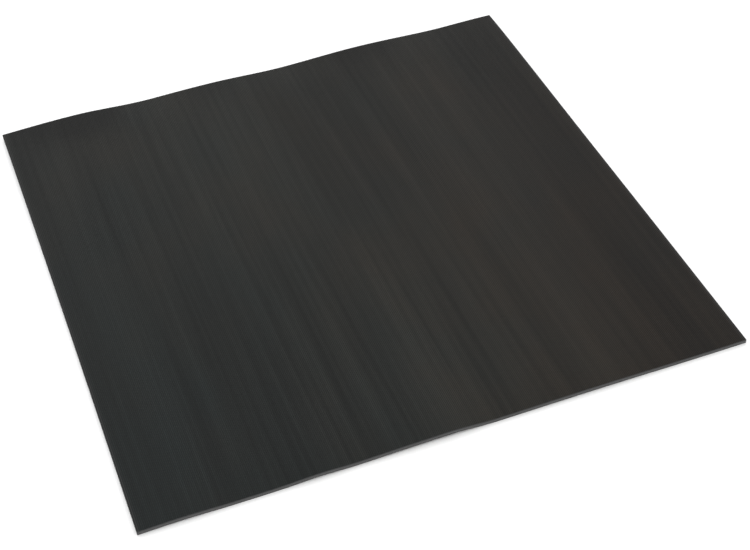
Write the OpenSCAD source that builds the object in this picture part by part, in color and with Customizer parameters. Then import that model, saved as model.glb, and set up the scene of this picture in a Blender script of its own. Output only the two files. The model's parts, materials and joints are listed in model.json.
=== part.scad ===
// Square heat mat for seed trays: two rubber covers laminated around a serpentine heating wire.
// Millimetres. Origin at the centre of the underside, +X across the ribs, +Y along them, +Z up.

/* [Mat] */
// Width of the mat, across its ribs
mat_w = 508; // [400:1:620]
// Depth of the mat, along its ribs
mat_d = 508; // [400:1:620]
// Width of the rubber strips that close the four edges
edge_w = 15; // [10:0.5:20]

/* [Layers] */
// Thickness of the bottom cover
bottom_t = 0.7; // [0.5:0.05:1]
// Thickness of the foam insulation
foam_t = 0.3; // [0.2:0.05:0.6]
// Thickness of the heat-spreading foil
foil_t = 0.1; // [0.05:0.01:0.2]
// Thickness of the top cover under its ribs
top_t = 0.8; // [0.5:0.05:1.2]

/* [Ribs] */
// Nominal spacing of the ribs
rib_pitch = 1.47; // [1.2:0.01:3]
// Height of a rib
rib_h = 0.3; // [0.15:0.05:0.5]
// Width of a rib's flat crest
rib_crest = 0.5; // [0.3:0.05:0.6]
// Width of the flat valley between two ribs
rib_valley = 0.35; // [0.2:0.05:0.5]

/* [Scrim] */
// Nominal spacing of the reinforcing yarns
yarn_pitch = 16; // [8:1:24]
// Width of a yarn
yarn_w = 0.8; // [0.4:0.1:1.5]
// Thickness of a yarn
yarn_t = 0.1; // [0.05:0.01:0.15]

/* [Heating wire] */
// Diameter of the bare resistance wire
wire_d = 0.5; // [0.3:0.05:0.6]
// Outer diameter of the wire's jacket
jacket_d = 1.2; // [1:0.05:1.6]
// Nominal spacing of the wire's runs
run_pitch = 26; // [20:1:36]
// Free strip between the wire and the edge strips
wire_margin = 18; // [12:1:26]
// Radius of the wire's corners at the return lead
corner_r = 6; // [4:0.5:8]
// Thickness of the bed under the wire
bed_floor = 0.1; // [0.05:0.05:0.3]
// Play between the jacket and its channel, on each side
channel_play = 0.05; // [0.03:0.01:0.1]

/* [Terminals] */
// Spacing of the two leads
lead_pitch = 8; // [6:0.5:12]
// Diameter of a supply lead
lead_d = 1.2; // [0.9:0.05:1.4]
// Diameter of a supply lead's bare strands
strand_d = 0.6; // [0.4:0.05:0.6]
// Clearance between a lead and its bore, on each side
lead_clearance = 0.05; // [0.05:0.01:0.1]
// Rubber beside each bore of the gland
gland_side = 5; // [3:0.5:8]
// Reach of the gland's retaining flange to each side
flange_reach = 4; // [2:0.5:6]
// Length of the gland's retaining flange
flange_l = 3; // [2:0.5:4]
// Length of a crimp
crimp_l = 8; // [6:0.5:10]
// Thickness of the stop in the middle of a crimp
stop_t = 0.4; // [0.2:0.1:1]
// Wall of the shrink sleeves
sleeve_wall = 0.13; // [0.1:0.01:0.15]
// Straight wire between the return corner and the terminal pocket
lead_in = 13; // [8:1:20]
// Width of the insulating patch beyond the terminal pocket
patch_lap = 3; // [2:0.5:6]

/* [Thermal cut-off] */
// Length of the cut-off's body
cutoff_l = 8; // [6:0.5:12]
// Width of the cut-off's body
cutoff_w = 4; // [3:0.5:6]
// Length of each of the cut-off's leads
cutoff_lead_l = 6; // [4:0.5:8]
// Length of a splice
splice_l = 6; // [4:0.5:8]

/* [Hidden] */
$fn = 48;

// Gap between a part that is slipped on and what it is slipped on to
slip = 0.02;
// Bare length of wire between a jacket's end and a sleeve
bare_l = 0.5;
// Gap between a part and the pocket or notch that it lies in
pocket_play = 0.5;

// Derived lengths lie on a fine grid, so that parts that meet do so exactly
fine = 0.01;
function on_grid(length, grid) = round(length / grid) * grid;

// From the centre to the mat's edges, and to the inner faces of the edge strips
half_w = on_grid(mat_w / 2, fine);
half_d = on_grid(mat_d / 2, fine);
inner_x = half_w - edge_w;
inner_y = half_d - edge_w;

// Heights of the layers, from the floor up
bed_t = bed_floor + jacket_d + 2 * channel_play;
foam_z = bottom_t;
warp_z = foam_z + foam_t;
weft_z = warp_z + yarn_t;
bed_z = weft_z + yarn_t;
foil_z = bed_z + bed_t;
top_z = foil_z + foil_t;
core_t = top_z - bottom_t;
wire_z = bed_z + bed_floor + channel_play + jacket_d / 2;

// Ribs
rib_count = round(2 * half_w / rib_pitch);
rib_step = 2 * half_w / rib_count;
rib_flank = (rib_step - rib_crest - rib_valley) / 2;

// Runs of the wire: an even number, so that both of its ends are at the rear
run_room = 2 * (inner_x - wire_margin);
run_count = 2 * round((run_room / run_pitch + 1) / 2);
run_step = on_grid(run_room / (run_count - 1), 2 * fine);
bend_r = run_step / 2;
front_y = -inner_y + wire_margin + bend_r;

// Terminal pocket, along the rear edge strip
live_x = (run_count - 1) * bend_r;
neutral_x = live_x - lead_pitch;
gland_x = (live_x + neutral_x) / 2;
gland_w = lead_pitch + 2 * gland_side;
flange_w = gland_w + 2 * flange_reach;
sleeve_end_y = inner_y - flange_l - bare_l;
crimp_y = sleeve_end_y - bare_l - crimp_l;
jacket_end_y = crimp_y - 2 * bare_l;
pocket_y = jacket_end_y - 2 * bare_l;
pocket_w = flange_w + 2 * pocket_play;

// Return lead behind the rear bends
return_y = pocket_y - lead_in - corner_r;
rear_y = return_y - run_step;

// Thermal cut-off, in line with the first run
sleeve_d = jacket_d + 2 * channel_play;
crimp_d = sleeve_d - 2 * (sleeve_wall + slip);
cutoff_t = crimp_d;
cutoff_y = rear_y;
cutoff_joint = cutoff_l / 2 + cutoff_lead_l;
cutoff_sleeve_l = 2 * (cutoff_joint + splice_l / 2 + bare_l);
cutoff_gap = cutoff_sleeve_l / 2 + bare_l;

// Draws its 2-D child along +Y; the child's x is across the wire and its y is up
module along_y(x, from_y, to_y)
    translate([x, to_y, wire_z]) rotate([90, 0, 0])
        linear_extrude(height = to_y - from_y) children();

// Draws its 2-D child along +X
module along_x(y, from_x, to_x)
    translate([from_x, y, wire_z]) rotate([90, 0, 90])
        linear_extrude(height = to_x - from_x) children();

// Draws its 2-D child round a bend
module bend(centre, radius, from_angle, sweep)
    translate([centre[0], centre[1], wire_z]) rotate([0, 0, from_angle])
        rotate_extrude(angle = sweep) translate([radius, 0]) children();

// From the cut-off down the first run, through every bend and run, and back along the return lead
module main_route(first_end, last_end) {
    along_y(live_x, front_y, first_end) children();
    for (i = [1 : run_count - 2])
        along_y(live_x - i * run_step, front_y, rear_y) children();
    for (i = [0 : 2 : run_count - 2])
        bend([live_x - (i + 0.5) * run_step, front_y], bend_r, 180, 180) children();
    for (i = [1 : 2 : run_count - 3])
        bend([live_x - (i + 0.5) * run_step, rear_y], bend_r, 0, 180) children();
    along_y(-live_x, front_y, return_y - corner_r) children();
    bend([-live_x + corner_r, return_y - corner_r], corner_r, 90, 90) children();
    along_x(return_y, -live_x + corner_r, neutral_x - corner_r) children();
    bend([neutral_x - corner_r, return_y + corner_r], corner_r, 270, 90) children();
    along_y(neutral_x, return_y + corner_r, last_end) children();
}

// A closed tube's section
module ring(outer_d, inner_d)
    difference() {
        circle(d = outer_d);
        circle(d = inner_d);
    }

// The section of the wire's channel, open at the top of the bed
module channel_section()
    translate([-jacket_d / 2 - channel_play, bed_z + bed_floor - wire_z])
        square([jacket_d + 2 * channel_play, bed_t - bed_floor]);

// A plate about the centre, given half its width and half its depth
module plate(half_x, half_y, t, z)
    translate([-half_x, -half_y, z]) cube([2 * half_x, 2 * half_y, t]);

module rib_outline()
    polygon([
        [-half_w, 0],
        [-half_w, top_t],
        for (i = [0 : rib_count - 1])
            let (left = -half_w + i * rib_step + rib_valley / 2)
                each [
                    [left, top_t],
                    [left + rib_flank, top_t + rib_h],
                    [left + rib_flank + rib_crest, top_t + rib_h],
                    [left + 2 * rib_flank + rib_crest, top_t]
                ],
        [half_w, top_t],
        [half_w, 0]
    ]);

module top_cover() color("dimgray")
    translate([0, half_d, top_z]) rotate([90, 0, 0])
        linear_extrude(height = 2 * half_d) rib_outline();

module bottom_cover() color("black") plate(half_w, half_d, bottom_t, 0);

module insulation_layer() color("lightgray") plate(inner_x, inner_y, foam_t, foam_z);

// A notch in the foil's rear edge, or the patch that fills it
module terminal_notch(play) {
    w = pocket_w + 2 * (patch_lap + play);
    front = pocket_y - patch_lap - play;
    translate([gland_x - w / 2, front, foil_z]) cube([w, inner_y - front, foil_t]);
}

module heat_spreader() color("silver")
    difference() {
        plate(inner_x, inner_y, foil_t, foil_z);
        terminal_notch(pocket_play);
    }

module terminal_patch() color("orange") terminal_notch(0);

module element_bed() color("gray")
    difference() {
        plate(inner_x, inner_y, bed_t, bed_z);
        // channel for the wire
        main_route(cutoff_y, pocket_y) channel_section();
        along_y(live_x, cutoff_y, pocket_y) channel_section();
        // pocket for the cut-off
        translate([
            live_x - cutoff_w / 2 - pocket_play,
            cutoff_y - cutoff_gap,
            bed_z
        ])
            cube([cutoff_w + 2 * pocket_play, 2 * cutoff_gap, bed_t]);
        // pocket for the terminals
        translate([gland_x - pocket_w / 2, pocket_y, bed_z])
            cube([pocket_w, inner_y - pocket_y, bed_t]);
    }

// Warp yarns run along Y and weft yarns run along X, on top of them
module scrim_warp() color("wheat") {
    count = floor(2 * inner_x / yarn_pitch);
    step = 2 * inner_x / count;
    for (i = [0 : count - 1])
        translate([-inner_x + (i + 0.5) * step - yarn_w / 2, -inner_y, warp_z])
            cube([yarn_w, 2 * inner_y, yarn_t]);
}

module scrim_weft() color("wheat") {
    count = floor(2 * inner_y / yarn_pitch);
    step = 2 * inner_y / count;
    for (i = [0 : count - 1])
        translate([-inner_x, -inner_y + (i + 0.5) * step - yarn_w / 2, weft_z])
            cube([2 * inner_x, yarn_w, yarn_t]);
}

// The heating wire and its jacket
module heating_wire_core() color("slategray") {
    main_route(cutoff_y - cutoff_joint - slip, crimp_y + crimp_l / 2 - stop_t / 2 - slip)
        circle(d = wire_d);
    along_y(live_x, cutoff_y + cutoff_joint + slip, crimp_y + crimp_l / 2 - stop_t / 2 - slip)
        circle(d = wire_d);
}

module heating_wire_jacket() color("firebrick") {
    main_route(cutoff_y - cutoff_gap, jacket_end_y) ring(jacket_d, wire_d + 2 * slip);
    along_y(live_x, cutoff_y + cutoff_gap, jacket_end_y) ring(jacket_d, wire_d + 2 * slip);
}

// The thermal cut-off and what joins it to the wire
module cutoff_at() translate([live_x, cutoff_y, wire_z]) children();

module thermal_cutoff() color("ivory")
    cutoff_at() cube([cutoff_w, cutoff_l, cutoff_t], center = true);

module cutoff_leads() color("silver")
    cutoff_at()
        for (side = [0, 180])
            rotate([0, 0, side]) translate([0, cutoff_l / 2, 0]) rotate([-90, 0, 0])
                cylinder(h = cutoff_lead_l - slip, d = wire_d);

module cutoff_splices() color("silver")
    cutoff_at()
        for (side = [0, 180])
            rotate([0, 0, side]) translate([0, cutoff_joint + splice_l / 2, 0]) rotate([90, 0, 0])
                linear_extrude(height = splice_l) ring(crimp_d, wire_d + 2 * slip);

module cutoff_sleeve() color("white")
    cutoff_at()
        rotate([90, 0, 0]) linear_extrude(height = cutoff_sleeve_l, center = true)
            difference() {
                square([cutoff_w + 2 * (slip + sleeve_wall), sleeve_d], center = true);
                square([cutoff_w + 2 * slip, cutoff_t + 2 * slip], center = true);
            }

// A crimp, closed in the middle, with the wire in its front half and a lead's strands in its rear half
module crimp(x) {
    half_l = (crimp_l - stop_t) / 2;
    translate([x, crimp_y + crimp_l, wire_z]) rotate([90, 0, 0])
        difference() {
            cylinder(h = crimp_l, d = crimp_d);
            translate([0, 0, -1]) cylinder(h = half_l + 1, d = strand_d);
            translate([0, 0, crimp_l - half_l]) cylinder(h = half_l + 1, d = wire_d + 2 * slip);
        }
}

module crimp_sleeve(x)
    along_y(x, crimp_y - bare_l, sleeve_end_y) ring(sleeve_d, crimp_d + 2 * slip);

module live_crimp() color("silver") crimp(live_x);
module neutral_crimp() color("silver") crimp(neutral_x);
module live_crimp_sleeve() color("saddlebrown") crimp_sleeve(live_x);
module neutral_crimp_sleeve() color("steelblue") crimp_sleeve(neutral_x);

// A strip between the two covers, from one corner to the opposite one
module edge_strip(from, to)
    translate([from[0], from[1], bottom_t]) cube([to[0] - from[0], to[1] - from[1], core_t]);

module front_edge_strip() color("black")
    edge_strip([-half_w, -half_d], [half_w, -inner_y]);

module rear_edge_strip() color("black") {
    edge_strip([-half_w, inner_y], [gland_x - gland_w / 2, half_d]);
    edge_strip([gland_x + gland_w / 2, inner_y], [half_w, half_d]);
}

module left_edge_strip() color("black")
    edge_strip([-half_w, -inner_y], [-inner_x, inner_y]);

module right_edge_strip() color("black")
    edge_strip([inner_x, -inner_y], [half_w, inner_y]);

// The gland fills the gap in the rear strip, and its flange keeps it from being pulled out
module lead_gland() color("black")
    difference() {
        union() {
            edge_strip([gland_x - gland_w / 2, inner_y], [gland_x + gland_w / 2, half_d]);
            translate([gland_x - flange_w / 2, inner_y - flange_l, bed_z])
                cube([flange_w, flange_l, bed_t]);
        }
        for (x = [live_x, neutral_x])
            translate([x, inner_y - flange_l - 1, wire_z]) rotate([-90, 0, 0])
                cylinder(h = edge_w + flange_l + 2, d = lead_d + 2 * lead_clearance);
    }

top_cover();
heat_spreader();
terminal_patch();
element_bed();
heating_wire_core();
heating_wire_jacket();
thermal_cutoff();
cutoff_leads();
cutoff_splices();
cutoff_sleeve();
live_crimp();
neutral_crimp();
live_crimp_sleeve();
neutral_crimp_sleeve();
scrim_warp();
scrim_weft();
insulation_layer();
bottom_cover();
front_edge_strip();
rear_edge_strip();
left_edge_strip();
right_edge_strip();
lead_gland();
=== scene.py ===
import json
import math

import bpy
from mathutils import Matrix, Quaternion, Vector


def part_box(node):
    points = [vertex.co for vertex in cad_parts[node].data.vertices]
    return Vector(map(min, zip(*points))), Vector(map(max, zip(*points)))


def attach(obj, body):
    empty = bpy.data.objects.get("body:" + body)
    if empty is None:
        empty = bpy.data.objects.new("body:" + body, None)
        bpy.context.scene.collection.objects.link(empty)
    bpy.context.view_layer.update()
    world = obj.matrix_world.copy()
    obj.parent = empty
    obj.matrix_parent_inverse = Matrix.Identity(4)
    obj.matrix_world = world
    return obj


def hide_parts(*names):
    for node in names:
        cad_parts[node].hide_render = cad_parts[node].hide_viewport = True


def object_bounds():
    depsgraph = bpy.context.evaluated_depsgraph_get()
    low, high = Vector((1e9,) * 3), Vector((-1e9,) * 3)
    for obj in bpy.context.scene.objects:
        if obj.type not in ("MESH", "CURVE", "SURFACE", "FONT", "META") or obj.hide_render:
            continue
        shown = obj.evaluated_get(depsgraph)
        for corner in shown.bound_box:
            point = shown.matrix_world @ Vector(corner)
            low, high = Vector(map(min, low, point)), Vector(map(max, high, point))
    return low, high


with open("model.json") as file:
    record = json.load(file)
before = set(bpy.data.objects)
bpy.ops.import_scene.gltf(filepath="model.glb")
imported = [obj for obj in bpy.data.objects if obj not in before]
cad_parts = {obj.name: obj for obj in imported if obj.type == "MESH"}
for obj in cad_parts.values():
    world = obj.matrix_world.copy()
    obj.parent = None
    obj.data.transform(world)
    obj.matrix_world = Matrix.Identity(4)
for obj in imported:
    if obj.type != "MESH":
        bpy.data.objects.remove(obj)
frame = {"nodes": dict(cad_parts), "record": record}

CAD_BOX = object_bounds()

# ---- sizes, in metres ----

HALF_W, HALF_D = CAD_BOX[1].x, CAD_BOX[1].y
COVER_LOW, COVER_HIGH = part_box("top_cover")
RIB_H = 0.0003
RIB_PITCH = 0.00147
RIB_COUNT = round(2 * HALF_W / RIB_PITCH)
RIB_STEP = 2 * HALF_W / RIB_COUNT
# How high a rib's shoulders stand, as a share of its crown
RIB_SHOULDER = 0.72
# How many strips from front to rear, and from side to side, a ply is cut into to follow the waves
ROWS = 36
COLUMNS = 48
PLY_ROUNDING = 0.00006
CUTOFF_ROUNDING = 0.0002
SHARP_ANGLE = math.radians(50)
FLAT_ANGLE = math.radians(0.5)
# Points nearer to each other than this are one point
SAME_PLACE = 1e-6
# How far a cut face may be from the mat's box: the bow moves the left and right ones
SIDE_SLACK, END_SLACK = 0.001, 0.0002
# The floor is a hair lower than the underside, so that the two faces never share a plane
FLOOR_GAP = 0.0001

# ---- how the mat lies: soft waves along its rear edge, and slighter ones in front ----

# Each wave: where its crest is along X, how far it runs to the left and to the right, and its height
REAR_WAVES = [
    (-0.182, 0.120, 0.078, 0.0037),
    (-0.048, 0.110, 0.072, 0.0020),
    (0.107, 0.090, 0.100, 0.0025),
    (0.245, 0.070, 0.070, 0.0011),
]
FRONT_WAVES = [
    (-0.218, 0.052, 0.042, 0.0011),
    (-0.112, 0.038, 0.033, 0.0014),
    (-0.003, 0.120, 0.038, 0.0021),
    (0.117, 0.110, 0.105, 0.0008),
    (0.262, 0.040, 0.040, 0.0002),
]
# The rear half lifts a little off the floor, and the rear waves curl close to the edge
REAR_LIFT = 0.0016
REAR_LIFT_REACH = 0.25
REAR_CURL_REACH = 0.055
FRONT_REACH = 0.10
# The sheet lies very slightly bowed: its middle to the right, its two ends to the left
BOW_MIDDLE = 0.0003
BOW_ENDS = 0.0007


def swell(waves, x):
    """The height at x of a row of waves."""
    total = 0.0
    for crest, left, right, height in waves:
        away = (crest - x) / left if x < crest else (x - crest) / right
        if away < 1:
            total += height * math.cos(away * math.pi / 2) ** 2
    return total


def fading(distance, reach):
    """1 at the edge, 0 from reach inwards, and smooth between them."""
    left = max(0.0, 1 - distance / reach)
    return left * left * (3 - 2 * left)


def rise(x, y):
    """How far the mat stands off the floor at a place."""
    from_rear, from_front = HALF_D - y, HALF_D + y
    lift = REAR_LIFT * fading(from_rear, REAR_LIFT_REACH)
    curl = max(0.0, 1 - from_rear / REAR_CURL_REACH) ** 2
    front = swell(FRONT_WAVES, x) * fading(from_front, FRONT_REACH)
    return lift + (swell(REAR_WAVES, x) - REAR_LIFT) * curl + front


def bow(along):
    """How far the mat lies to the right, where along goes from -1 in front to 1 at the rear."""
    return BOW_MIDDLE - BOW_ENDS * (along * along)


# ---- shader maths ----


class Value:
    """One output of a node. Arithmetic on it adds Math nodes."""

    def __init__(self, finish, socket):
        self.finish, self.socket = finish, socket

    def maths(self, operation, *values):
        return self.finish.node("ShaderNodeMath", {"operation": operation}, dict(enumerate(values)))

    def __add__(self, other):
        return self.maths("ADD", self, other)

    __radd__ = __add__

    def __sub__(self, other):
        return self.maths("SUBTRACT", self, other)

    def __rsub__(self, other):
        return self.maths("SUBTRACT", other, self)

    def __mul__(self, other):
        return self.maths("MULTIPLY", self, other)

    __rmul__ = __mul__

    def wave(self):
        """From 0 to 1 and back, once for each whole step of the value."""
        return self.maths("SINE", self * math.tau) * 0.5 + 0.5

    def between(self, low, high):
        """0 below low, 1 above high, and smooth between them."""
        settings = {"interpolation_type": "SMOOTHSTEP"}
        return self.finish.node("ShaderNodeMapRange", settings, {"Value": self, 1: low, 2: high})


class Finish:
    """A material on one Principled shader."""

    def __init__(self, name, **constants):
        self.material = bpy.data.materials.new(name)
        self.material.use_nodes = True
        self.tree = self.material.node_tree
        self.shader = self.tree.nodes["Principled BSDF"]
        for socket, value in constants.items():
            self.shader.inputs[socket.replace("_", " ")].default_value = value

    def node(self, kind, settings=None, inputs=None, output=0):
        """Adds a node with its settings, then the values or links of its sockets."""
        added = self.tree.nodes.new(kind)
        for name, value in (settings or {}).items():
            setattr(added, name, value)
        for socket, value in (inputs or {}).items():
            if isinstance(value, Value):
                self.tree.links.new(value.socket, added.inputs[socket])
            else:
                added.inputs[socket].default_value = value
        return Value(self, added.outputs[output])

    def place(self):
        """The piece's own coordinates, in metres."""
        return self.node("ShaderNodeTexCoord", output="Object")

    def axes(self):
        """The piece's own X, Y and Z, in metres."""
        split = self.node("ShaderNodeSeparateXYZ", inputs={0: self.place()})
        return [Value(self, out) for out in split.socket.node.outputs]

    def stretched(self, x, y, z):
        """The piece's coordinates times x, y and z: how many patches there are in a metre."""
        return self.node("ShaderNodeMapping", inputs={"Vector": self.place(), "Scale": (x, y, z)})

    def noise(self, x, y, z, detail=2.0, roughness=0.5):
        """Soft patches, x, y and z of them in a metre."""
        inputs = {"Vector": self.stretched(x, y, z), "Scale": 1.0, "Detail": detail, "Roughness": roughness}
        return self.node("ShaderNodeTexNoise", {"normalize": True}, inputs)

    def cells(self, per_metre):
        """The distance to the middle of the nearest of many small cells."""
        inputs = {"Vector": self.stretched(per_metre, per_metre, per_metre), "Scale": 1.0}
        return self.node("ShaderNodeTexVoronoi", inputs=inputs)

    def blend(self, share, first, second):
        """A colour between two colours."""
        inputs = {0: share, 6: first, 7: second}
        return self.node("ShaderNodeMix", {"data_type": "RGBA"}, inputs, output=2)

    def bump(self, height, distance, strength=1.0):
        """Relief from a height of 0 to 1, distance metres deep."""
        inputs = {"Height": height, "Distance": distance, "Strength": strength}
        self.feed(Normal=self.node("ShaderNodeBump", inputs=inputs))

    def feed(self, **values):
        """Links values to the shader's own sockets."""
        for socket, value in values.items():
            self.tree.links.new(value.socket, self.shader.inputs[socket.replace("_", " ")])


def grey(level, warmth=0.0):
    """A grey, a little browner with warmth above 0 and a little bluer below it."""
    return (level * (1 + warmth), level, level * (1 - warmth), 1.0)


# ---- the finishes ----


# The streaks' darkest and palest rubber, in a cool tone for the left and a warm one for the right: a
# painted reflection tint
COOL_DARK, COOL_PALE = (0.0084, 0.0120, 0.0117, 1), (0.0273, 0.0390, 0.0380, 1)
WARM_DARK, WARM_PALE = (0.0106, 0.0076, 0.0048, 1), (0.0410, 0.0293, 0.0185, 1)
# The heights between which the rear crests get painted shade, and the width of the paler band along the
# left and right sides
PAINTED_SHADE_FROM, PAINTED_SHADE_TO = 0.0048, 0.0060
PALE_BAND_WIDTH = 0.004


def ribbed_rubber():
    """Black rubber with calender streaks along the ribs and a little dust, with painted shade towards the
    two sides and on the high rear crests, a painted reflection tint, a paler band along the sides and a
    painted dark line on each rib.
    """
    f = Finish("ribbed_rubber", Specular_IOR_Level=0.103)
    across, y, z = f.axes()
    x = across - bow(y * (1 / HALF_D))
    broad = f.noise(11, 1.2, 1, detail=1.0)
    middle = f.noise(45, 2.0, 1, detail=2.0)
    narrow = f.noise(230, 3.5, 1, detail=3.0)
    bloom = f.noise(14, 9, 1, detail=4.0)
    streaks = broad * 0.30 + middle * 0.22 + narrow * 0.36 + bloom * 0.12
    dust = f.noise(2600, 2600, 2600, detail=1.0).between(0.62, 0.80)
    # 1 in the grooves and 0 on the crowns of the ribs
    groove = (x * (1 / RIB_STEP) + 0.25 + RIB_COUNT / 2).wave()
    cool = f.blend(streaks.between(0.30, 0.70), COOL_DARK, COOL_PALE)
    warm = f.blend(streaks.between(0.30, 0.70), WARM_DARK, WARM_PALE)
    # Painted reflection tint: cool at the left, warm at the right, strongest towards the front, mixed with
    # the bloom's random tone
    towards_front = 0.7 - y * (0.5 / HALF_D)
    warmth = x * (0.5 / HALF_W) * towards_front + 0.1 + bloom * 0.8
    body = f.blend(warmth, cool, warm)
    sideways = x * x
    # Painted shade: the rubber darkens towards the left and right sides
    side_painted_shade = f.blend(sideways * (0.46 / HALF_W**2), body, grey(0.0075))
    # Painted shade on the rear waves' crests, where the mat stands highest in its rear half
    crest_shade_mask = z.between(PAINTED_SHADE_FROM, PAINTED_SHADE_TO) * y.between(0, 0.8 * HALF_D)
    crest_painted_shade = f.blend(crest_shade_mask * 0.60, side_painted_shade, grey(0.0050))
    # A paler band along the very left and right sides
    side = sideways.between((HALF_W - PALE_BAND_WIDTH) ** 2, HALF_W**2)
    pale_sides = f.blend(side * 0.60, crest_painted_shade, grey(0.060))
    # Painted shade for the ribs' relief: a dark line meant for the grooves, which lies on the crowns, where
    # groove is 0
    rib_painted_shade = f.blend(groove, grey(0.0060), pale_sides)
    f.feed(Base_Color=f.blend(dust * 0.25, rib_painted_shade, grey(0.040, 0.03)))
    f.feed(Roughness=0.54 - streaks.between(0.25, 0.75) * 0.08 - groove * 0.04)
    grain = f.noise(4200, 1600, 4200, detail=3.0)
    f.bump(grain, 0.00003)
    return f.material


def cut_rubber(name, level):
    """The pale, matt face that a knife leaves, with fine drag marks along it."""
    f = Finish(name, Specular_IOR_Level=0.35, Roughness=0.85)
    drag = f.noise(140, 140, 5200, detail=3.0)
    crumbs = f.noise(1900, 1900, 1900, detail=3.0)
    shade = drag * 0.55 + crumbs * 0.45
    f.feed(Base_Color=f.blend(shade.between(0.32, 0.68), grey(level * 0.72), grey(level * 1.30)))
    f.bump(crumbs * 0.6 + drag * 0.4, 0.00004)
    return f.material


def backing_rubber():
    """Black rubber that was cured on cloth, which left its weave."""
    f = Finish("backing_rubber", Specular_IOR_Level=0.35)
    x, y, _ = f.axes()
    threads = 900
    weave = (x * threads).wave() * (y * threads + 0.25).wave()
    patches = f.noise(30, 30, 1, detail=4.0)
    f.feed(Base_Color=f.blend(patches.between(0.3, 0.7), grey(0.014), grey(0.026, 0.03)))
    f.feed(Roughness=0.80 - weave * 0.12)
    f.bump(weave, 0.00010)
    return f.material


def gland_rubber():
    """Smooth moulded rubber, a little glossier than the sheet."""
    f = Finish("gland_rubber", Specular_IOR_Level=0.45)
    mottle = f.noise(700, 700, 700, detail=3.0)
    f.feed(Base_Color=f.blend(mottle, grey(0.012), grey(0.022)))
    f.feed(Roughness=0.42 + mottle * 0.18)
    f.bump(mottle, 0.00002)
    return f.material


def silicone_ply():
    """Grey filled silicone with fine grit and faint streaks."""
    f = Finish("bed_silicone", Specular_IOR_Level=0.4)
    grit = f.noise(3000, 3000, 3000, detail=2.0)
    sweep = f.noise(12, 90, 1, detail=2.0)
    f.feed(Base_Color=f.blend(grit * 0.6 + sweep * 0.4, grey(0.25, -0.02), grey(0.38, -0.02)))
    f.feed(Roughness=0.62 + grit * 0.2)
    f.bump(grit, 0.00003)
    return f.material


def foam_sheet():
    """Fine closed-cell foam."""
    f = Finish("foam", Specular_IOR_Level=0.2, Roughness=0.95)
    cell = f.cells(2400)
    patches = f.noise(25, 25, 1, detail=3.0)
    f.feed(Base_Color=f.blend(cell * 0.7 + patches * 0.3, grey(0.74, 0.02), grey(0.58, 0.03)))
    f.bump(1 - cell, 0.00012)
    return f.material


def rolled_foil():
    """Aluminium foil with rolling lines and soft creases."""
    f = Finish("foil", Metallic=1.0)
    lines = f.noise(1800, 12, 1, detail=2.0)
    creases = f.noise(45, 45, 1, detail=4.0, roughness=0.65)
    f.feed(Base_Color=f.blend(lines, grey(0.78, -0.01), grey(0.88, -0.01)))
    f.feed(Roughness=0.26 + lines * 0.16)
    f.bump(creases, 0.0004, strength=0.5)
    return f.material


def amber_film():
    """Amber insulating film with a faint crinkle."""
    f = Finish("insulating_film", Specular_IOR_Level=0.55, Coat_Weight=0.3)
    crinkle = f.noise(260, 260, 1, detail=3.0)
    f.feed(Base_Color=f.blend(crinkle, (0.62, 0.26, 0.03, 1), (0.78, 0.40, 0.06, 1)))
    f.feed(Roughness=0.24 + crinkle * 0.18)
    f.bump(crinkle, 0.00005)
    return f.material


def drawn_wire():
    """Drawn resistance alloy, dull, with lines along it."""
    f = Finish("resistance_wire", Metallic=1.0)
    lines = f.noise(9000, 60, 9000, detail=2.0)
    stain = f.noise(120, 120, 120, detail=2.0)
    f.feed(Base_Color=f.blend(stain, (0.42, 0.40, 0.37, 1), (0.55, 0.52, 0.48, 1)))
    f.feed(Roughness=0.34 + lines * 0.2)
    return f.material


def wire_silicone():
    """The red silicone jacket of the heating wire."""
    f = Finish("wire_jacket", Specular_IOR_Level=0.45)
    mottle = f.noise(900, 900, 900, detail=2.0)
    f.feed(Base_Color=f.blend(mottle, (0.30, 0.035, 0.02, 1), (0.42, 0.06, 0.035, 1)))
    f.feed(Roughness=0.40 + mottle * 0.2)
    f.bump(mottle, 0.00002)
    return f.material


def tinned_copper():
    """Tin plating over copper, pressed and lightly scratched."""
    f = Finish("tinned_copper", Metallic=1.0)
    scratches = f.noise(5200, 400, 5200, detail=3.0)
    f.feed(Base_Color=f.blend(scratches, grey(0.62, 0.02), grey(0.80, 0.01)))
    f.feed(Roughness=0.22 + scratches * 0.28)
    f.bump(scratches, 0.00001)
    return f.material


def cutoff_body():
    """The cream potting of the cut-off, with small pits."""
    f = Finish("cutoff_body", Specular_IOR_Level=0.4)
    pits = f.noise(3600, 3600, 3600, detail=3.0)
    f.feed(Base_Color=f.blend(pits, (0.66, 0.60, 0.47, 1), (0.80, 0.75, 0.63, 1)))
    f.feed(Roughness=0.5 + pits * 0.25)
    f.bump(pits, 0.00004)
    return f.material


def shrink_sleeve(name, dark, light):
    """Heat-shrunk tubing with slight rings where it pulled in."""
    f = Finish(name, Specular_IOR_Level=0.5)
    rings = f.noise(300, 2600, 300, detail=2.0)
    f.feed(Base_Color=f.blend(rings, dark, light))
    f.feed(Roughness=0.28 + rings * 0.2)
    f.bump(rings, 0.00002)
    return f.material


def glass_yarn(name, along):
    """Off-white glass yarn, with its filaments along it."""
    f = Finish(name, Specular_IOR_Level=0.5)
    across, lengthways = 9000, 90
    if along == "Y":
        filaments = f.noise(across, lengthways, across, detail=2.0)
    else:
        filaments = f.noise(lengthways, across, across, detail=2.0)
    f.feed(Base_Color=f.blend(filaments, (0.68, 0.66, 0.58, 1), (0.88, 0.87, 0.82, 1)))
    f.feed(Roughness=0.45 + filaments * 0.25)
    f.bump(filaments, 0.00003)
    return f.material


# ---- modelling ----


def take_up(piece):
    """Selects one piece alone and makes it the active one."""
    bpy.ops.object.select_all(action="DESELECT")
    piece.select_set(True)
    bpy.context.view_layer.objects.active = piece


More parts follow.
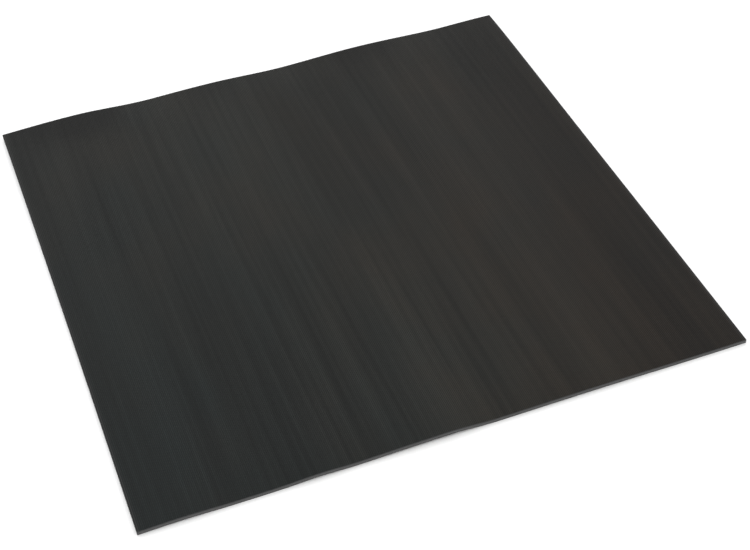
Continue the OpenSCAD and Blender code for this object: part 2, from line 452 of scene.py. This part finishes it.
def edit(piece):
    """Edits one piece alone, with nothing in it selected."""
    take_up(piece)
    bpy.ops.object.mode_set(mode="EDIT")
    bpy.ops.mesh.select_mode(type="VERT")
    bpy.ops.mesh.select_all(action="DESELECT")


def leave():
    """Back from editing a mesh."""
    bpy.ops.object.mode_set(mode="OBJECT")


def pick(piece, faces=None, edges=None, points=None):
    """Selects, in edit mode, the faces, edges or points that a test takes."""
    bpy.ops.mesh.select_all(action="DESELECT")
    kind = "FACE" if faces else "EDGE" if edges else "VERT"
    bpy.ops.mesh.select_mode(type=kind)
    leave()
    mesh = piece.data
    if faces:
        for face in mesh.polygons:
            face.select = faces(face)
    elif edges:
        for edge in mesh.edges:
            edge.select = edges(*(mesh.vertices[i].co for i in edge.vertices))
    else:
        for vertex in mesh.vertices:
            vertex.select = points(vertex.co)
    bpy.ops.object.mode_set(mode="EDIT")


def block(name, low, high):
    """A box between two corners, at its place in its mesh."""
    bpy.ops.object.select_all(action="DESELECT")
    bpy.ops.mesh.primitive_cube_add(size=1, location=(low + high) / 2, scale=high - low)
    bpy.ops.object.transform_apply(location=True, rotation=True, scale=True)
    piece = bpy.context.object
    piece.name = piece.data.name = name
    return piece


def apply(piece, kind, **settings):
    """Adds a modifier to a piece and applies it."""
    take_up(piece)
    modifier = piece.modifiers.new(kind, kind)
    for name, value in settings.items():
        setattr(modifier, name, value)
    bpy.ops.object.modifier_apply(modifier=modifier.name)


def cut_lines(low, high, count, start, end):
    """The cuts of a grid of count cells from start to end that fall between low and high."""
    lines = [start + (end - start) * i / count for i in range(1, count)]
    return [line for line in lines if low + SAME_PLACE < line < high - SAME_PLACE]


def cut_across(lines, axis):
    """Cuts the piece that is being edited at each line along an axis."""
    for line in lines:
        bpy.ops.mesh.select_all(action="SELECT")
        place, normal = [0.0, 0.0, 0.0], [0.0, 0.0, 0.0]
        place[axis], normal[axis] = line, 1.0
        bpy.ops.mesh.bisect(plane_co=place, plane_no=normal)


def cut_for_waves(piece, columns=True):
    """Gives a flat piece the cuts along which it can follow the waves."""
    corners = [v.co for v in piece.data.vertices]
    low = Vector(min(c[i] for c in corners) for i in range(3))
    high = Vector(max(c[i] for c in corners) for i in range(3))
    edit(piece)
    if columns:
        cut_across(cut_lines(low.x, high.x, COLUMNS, -HALF_W, HALF_W), 0)
    cut_across(cut_lines(low.y, high.y, ROWS, -HALF_D, HALF_D), 1)
    leave()


def lay_down(piece):
    """Lets a flat piece follow the mat's waves."""
    for vertex in piece.data.vertices:
        vertex.co.z += rise(vertex.co.x, vertex.co.y)
        vertex.co.x += bow(vertex.co.y / HALF_D)
    piece.data.update()


def hand_over(piece, node, slot, *materials):
    """Gives a finished piece its finish and its body, and hides the frame node that it stands in for."""
    piece.data.materials.clear()
    for material in materials:
        piece.data.materials.append(material)
    take_up(piece)
    bpy.ops.object.shade_smooth_by_angle(angle=SHARP_ANGLE)
    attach(piece, "root")
    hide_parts(node)


def record_slot(node):
    """The material slot that the record gives a node."""
    return next(row["material_slot"] for row in frame["record"]["subparts"] if row["node"] == node)


def paint(piece, index, takes):
    """Gives the faces that a test takes the piece's material of that index."""
    for face in piece.data.polygons:
        if takes(face):
            face.material_index = index


def is_cut_face(face):
    """Whether a face is part of the mat's four cut sides."""
    at_side = abs(abs(face.center.x) - HALF_W) < SIDE_SLACK
    at_end = abs(abs(face.center.y) - HALF_D) < END_SLACK
    return abs(face.normal.z) < 0.1 and (at_side or at_end)


# ---- the covers ----


def rib_slice():
    """One rib and the cover under it, from front to rear, open on both sides."""
    low = COVER_LOW.copy()
    high = Vector((low.x + RIB_STEP, HALF_D, COVER_HIGH.z - RIB_H))
    piece = block("top_cover_ribbed", low, high)
    edit(piece)
    pick(piece, faces=lambda face: abs(face.normal.x) > 0.9)
    bpy.ops.mesh.delete(type="FACE")
    for quarter in (1, 2, 3):
        pick(piece, faces=lambda face: face.normal.z > 0.9)
        bpy.ops.mesh.bisect(plane_co=(low.x + RIB_STEP * quarter / 4, 0, 0), plane_no=(1, 0, 0))
    middle = low.x + RIB_STEP / 2
    pick(piece, points=lambda co: co.z > high.z - SAME_PLACE and abs(co.x - middle) < RIB_STEP * 0.3)
    bpy.ops.transform.translate(value=(0, 0, RIB_H * RIB_SHOULDER))
    pick(piece, points=lambda co: co.z > high.z and abs(co.x - middle) < RIB_STEP * 0.1)
    bpy.ops.transform.translate(value=(0, 0, RIB_H * (1 - RIB_SHOULDER)))
    leave()
    cut_for_waves(piece, columns=False)
    return piece


def is_open_side(side, start, end):
    """Whether an edge runs from front to rear along one of the two open sides."""
    near_side = max(abs(start.x - side), abs(end.x - side)) < RIB_STEP * 0.1
    return near_side and abs(start.y - end.y) > 1e-4


def top_cover():
    """The ribbed cover: one rib's slice, repeated across the mat and closed at both sides."""
    piece = rib_slice()
    apply(
        piece,
        "ARRAY",
        count=RIB_COUNT,
        use_relative_offset=False,
        use_constant_offset=True,
        constant_offset_displace=(RIB_STEP, 0, 0),
        use_merge_vertices=True,
        merge_threshold=RIB_STEP * 0.01,
    )
    edit(piece)
    for side in (-HALF_W, HALF_W):
        pick(piece, edges=lambda a, b: is_open_side(side, a, b))
        bpy.ops.mesh.bridge_edge_loops()
    bpy.ops.mesh.select_all(action="SELECT")
    bpy.ops.mesh.normals_make_consistent(inside=False)
    leave()
    lay_down(piece)
    hand_over(piece, "top_cover", "ribbed_rubber", ribbed_rubber(), cut_rubber("cut_top_rubber", 0.040))
    paint(piece, 1, is_cut_face)


def backing_cover():
    """The flat cover underneath."""
    low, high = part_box("bottom_cover")
    piece = block("backing_cover", low, high)
    apply(piece, "BEVEL", width=PLY_ROUNDING, segments=2)
    cut_for_waves(piece)
    lay_down(piece)
    cut = cut_rubber("cut_backing_rubber", 0.055)
    hand_over(piece, "bottom_cover", "backing_rubber", backing_rubber(), cut)
    paint(piece, 1, is_cut_face)


# ---- the plies and fittings between the covers ----


def laid_copy(node, material, rounding=0.0):
    """A copy of a frame node, made to follow the waves."""
    piece = frame["nodes"][node].copy()
    piece.data = piece.data.copy()
    piece.name = piece.data.name = node + "_laid"
    piece.parent = None
    for key in [k for k in piece.keys() if k.startswith("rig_")]:
        del piece[key]
    bpy.context.scene.collection.objects.link(piece)
    edit(piece)
    bpy.ops.mesh.select_all(action="SELECT")
    bpy.ops.mesh.remove_doubles(threshold=SAME_PLACE)
    bpy.ops.mesh.dissolve_limited(angle_limit=FLAT_ANGLE)
    leave()
    if rounding:
        apply(piece, "BEVEL", width=rounding, segments=2)
    cut_for_waves(piece)
    lay_down(piece)
    hand_over(piece, node, record_slot(node), material)
    return piece


def edge_strips():
    rubber = cut_rubber("edge_rubber", 0.072)
    for side in ("front", "rear", "left", "right"):
        laid_copy(side + "_edge_strip", rubber, rounding=PLY_ROUNDING)


def plies():
    foil = laid_copy("heat_spreader", rolled_foil())
    foam = laid_copy("insulation_layer", foam_sheet())
    bed = laid_copy("element_bed", silicone_ply())
    laid_copy("terminal_patch", amber_film())
    laid_copy("scrim_warp", glass_yarn("warp_yarn", "Y"))
    laid_copy("scrim_weft", glass_yarn("weft_yarn", "X"))


def circuit_and_gland():
    laid_copy("heating_wire_core", drawn_wire())
    laid_copy("heating_wire_jacket", wire_silicone())
    tin = tinned_copper()
    for node in ("cutoff_leads", "cutoff_splices", "live_crimp", "neutral_crimp"):
        laid_copy(node, tin)
    laid_copy("thermal_cutoff", cutoff_body(), rounding=CUTOFF_ROUNDING)
    laid_copy("cutoff_sleeve", shrink_sleeve("clear_sleeve", grey(0.70), grey(0.86)))
    brown = shrink_sleeve("brown_sleeve", (0.14, 0.06, 0.025, 1), (0.22, 0.10, 0.045, 1))
    blue = shrink_sleeve("blue_sleeve", (0.03, 0.10, 0.32, 1), (0.05, 0.16, 0.45, 1))
    laid_copy("live_crimp_sleeve", brown)
    laid_copy("neutral_crimp_sleeve", blue)
    laid_copy("lead_gland", gland_rubber())


# ---- the camera, the floor and the light ----


def camera():
    data = bpy.data.cameras.new("camera")
    data.sensor_width = 36.0
    data.lens = 74.25
    eye = bpy.data.objects.new("camera", data)
    bpy.context.scene.collection.objects.link(eye)
    place = Vector((-0.3143, -0.9742, 0.9064))
    aim = Vector((0.0054, -0.0620, 0.0))
    roll = math.radians(-2.46)
    eye.location = place
    eye.rotation_mode = "QUATERNION"
    level = (aim - place).to_track_quat("-Z", "Y")
    eye.rotation_quaternion = level @ Quaternion((0, 0, 1), roll)
    bpy.context.scene.camera = eye


def floor():
    bpy.ops.object.select_all(action="DESELECT")
    bpy.ops.mesh.primitive_plane_add(size=14, location=(0, 0, -FLOOR_GAP))
    bpy.ops.object.transform_apply(location=True, rotation=True, scale=True)
    ground = bpy.context.object
    ground.name = "floor"
    white = Finish("floor_white", Base_Color=grey(0.96), Roughness=0.9, Specular_IOR_Level=0.0)
    ground.data.materials.append(white.material)


def lamp(name, place, aim, size, power):
    data = bpy.data.lights.new(name, "AREA")
    data.shape, data.size, data.energy = "DISK", size, power
    fixture = bpy.data.objects.new(name, data)
    bpy.context.scene.collection.objects.link(fixture)
    fixture.location = place
    fixture.rotation_mode = "QUATERNION"
    fixture.rotation_quaternion = (Vector(aim) - Vector(place)).to_track_quat("-Z", "Y")


def light():
    world = bpy.data.worlds.new("studio")
    world.use_nodes = True
    sky = world.node_tree.nodes["Background"].inputs
    sky["Color"].default_value = grey(1.0)
    sky["Strength"].default_value = 1.22
    bpy.context.scene.world = world
    lamp("soft_box", (-0.3, 1.3, 1.4), (0, 0.05, 0), 0.8, 4)
    bpy.context.scene.view_settings.view_transform = "Standard"


camera()
floor()
light()
top_cover()
backing_cover()
edge_strips()
plies()
circuit_and_gland()
